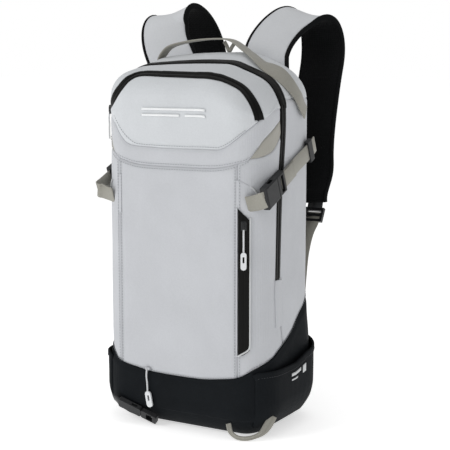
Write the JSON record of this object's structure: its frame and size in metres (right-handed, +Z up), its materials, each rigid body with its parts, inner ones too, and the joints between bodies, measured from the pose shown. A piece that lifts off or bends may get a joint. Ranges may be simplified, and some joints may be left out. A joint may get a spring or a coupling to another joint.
{
  "type": "ski backpack",
  "caption": "Grey and black ski backpack with a front lid that folds forward, a zipped side pocket, side compression straps, padded back and arching shoulder straps.",
  "frame": {"origin": "middle of the flat underside of the base, where the bag stands", "axes": "+Z up, -Y towards the front panel, +Y towards the wearer, +X towards the right side seen from the front"},
  "size_m": [0.3456, 0.3648, 0.6449],
  "materials": {
    "grey_fabric": "matte",
    "black_fabric": "matte",
    "back_mesh": "matte",
    "strap_fabric": "matte",
    "zip_tape": "satin",
    "taupe_webbing": "matte",
    "black_webbing": "matte",
    "black_plastic": "satin",
    "zip_metal": "satin",
    "pull_cord": "matte",
    "pull_tag": "matte",
    "frame_plastic": "matte",
    "frame_alloy": "satin"
  },
  "bodies": {
    "bag": {"back_pads": "back_mesh", "back_panel": "black_fabric", "base": "black_fabric", "base_pull_anchor": "grey_fabric", "base_pull_cord": "pull_cord", "base_pull_tag": "pull_tag", "buckle_socket_left": "black_plastic", "buckle_socket_right": "black_plastic", "crown_panel": "grey_fabric", "frame_sheet": "frame_plastic", "frame_stay": "frame_alloy", "front_panel": "grey_fabric", "grab_handle": "taupe_webbing", "hang_loop": "taupe_webbing", "inner_sleeve": "black_fabric", "ladder_locks": "black_plastic", "lower_webbings": "taupe_webbing", "lumbar_pad": "back_mesh", "main_zip_rear_tape": "zip_tape", "main_zip_side_tapes": "zip_tape", "shoulder_strap_left": "strap_fabric", "shoulder_strap_right": "strap_fabric", "side_panel_front_left": "grey_fabric", "side_panel_front_right": "grey_fabric", "side_panel_rear_left": "grey_fabric", "side_panel_rear_right": "grey_fabric", "side_pocket_left": "black_fabric", "side_pocket_right": "black_fabric", "side_zip": "zip_tape", "strap_anchors": "grey_fabric", "strap_fronts": "taupe_webbing", "strap_glides": "black_plastic", "strap_tabs": "grey_fabric", "tool_loop": "taupe_webbing", "waist_buckle_socket": "black_plastic", "waist_strap": "black_webbing"},
    "lid": {"goggle_pocket": "grey_fabric", "lid_band": "grey_fabric", "lid_top": "grey_fabric", "lid_lining": "black_fabric", "goggle_zip": "zip_tape", "main_zip_lid_tape": "zip_tape"},
    "goggle_slider": {"goggle_slider": "zip_metal", "goggle_pull_cord": "pull_cord"},
    "main_slider": {"main_slider": "zip_metal", "main_pull_cord": "pull_cord", "main_pull_tag": "pull_tag"},
    "side_slider": {"side_slider": "zip_metal", "side_pull_cord": "pull_cord", "side_pull_tag": "pull_tag"},
    "strap_plug_right": {"buckle_plug_right": "black_plastic", "strap_rear_right": "taupe_webbing"},
    "strap_plug_left": {"buckle_plug_left": "black_plastic", "strap_rear_left": "taupe_webbing"},
    "waist_plug": {"waist_buckle_plug": "black_plastic"}
  },
  "joints": [
    {"name": "lid_hinge", "type": "hinge", "parent": "bag", "child": "lid", "pos_m": [0, -0.093, 0.4137], "axis": [1, 0, 0], "range_deg": [0, 30]},
    {"name": "goggle_zip_slide", "type": "slide", "parent": "lid", "child": "goggle_slider", "axis": [0, 0, 1], "range_m": [0, 0.012]},
    {"name": "main_zip_slide", "type": "slide", "parent": "bag", "child": "main_slider", "axis": [0, 0.0359, 0.9994], "range_m": [0, 0.165]},
    {"name": "side_zip_slide", "type": "slide", "parent": "bag", "child": "side_slider", "axis": [0, 0, -1], "range_m": [0, 0.165]},
    {"name": "strap_release_right", "type": "slide", "parent": "bag", "child": "strap_plug_right", "axis": [0, 0.9205, 0.3907], "range_m": [0, 0.028]},
    {"name": "strap_release_left", "type": "slide", "parent": "bag", "child": "strap_plug_left", "axis": [0, 0.9205, 0.3907], "range_m": [0, 0.028]},
    {"name": "waist_release", "type": "slide", "parent": "bag", "child": "waist_plug", "axis": [0.9326, 0.1291, -0.3372], "range_m": [0, 0.03]}
  ]
}
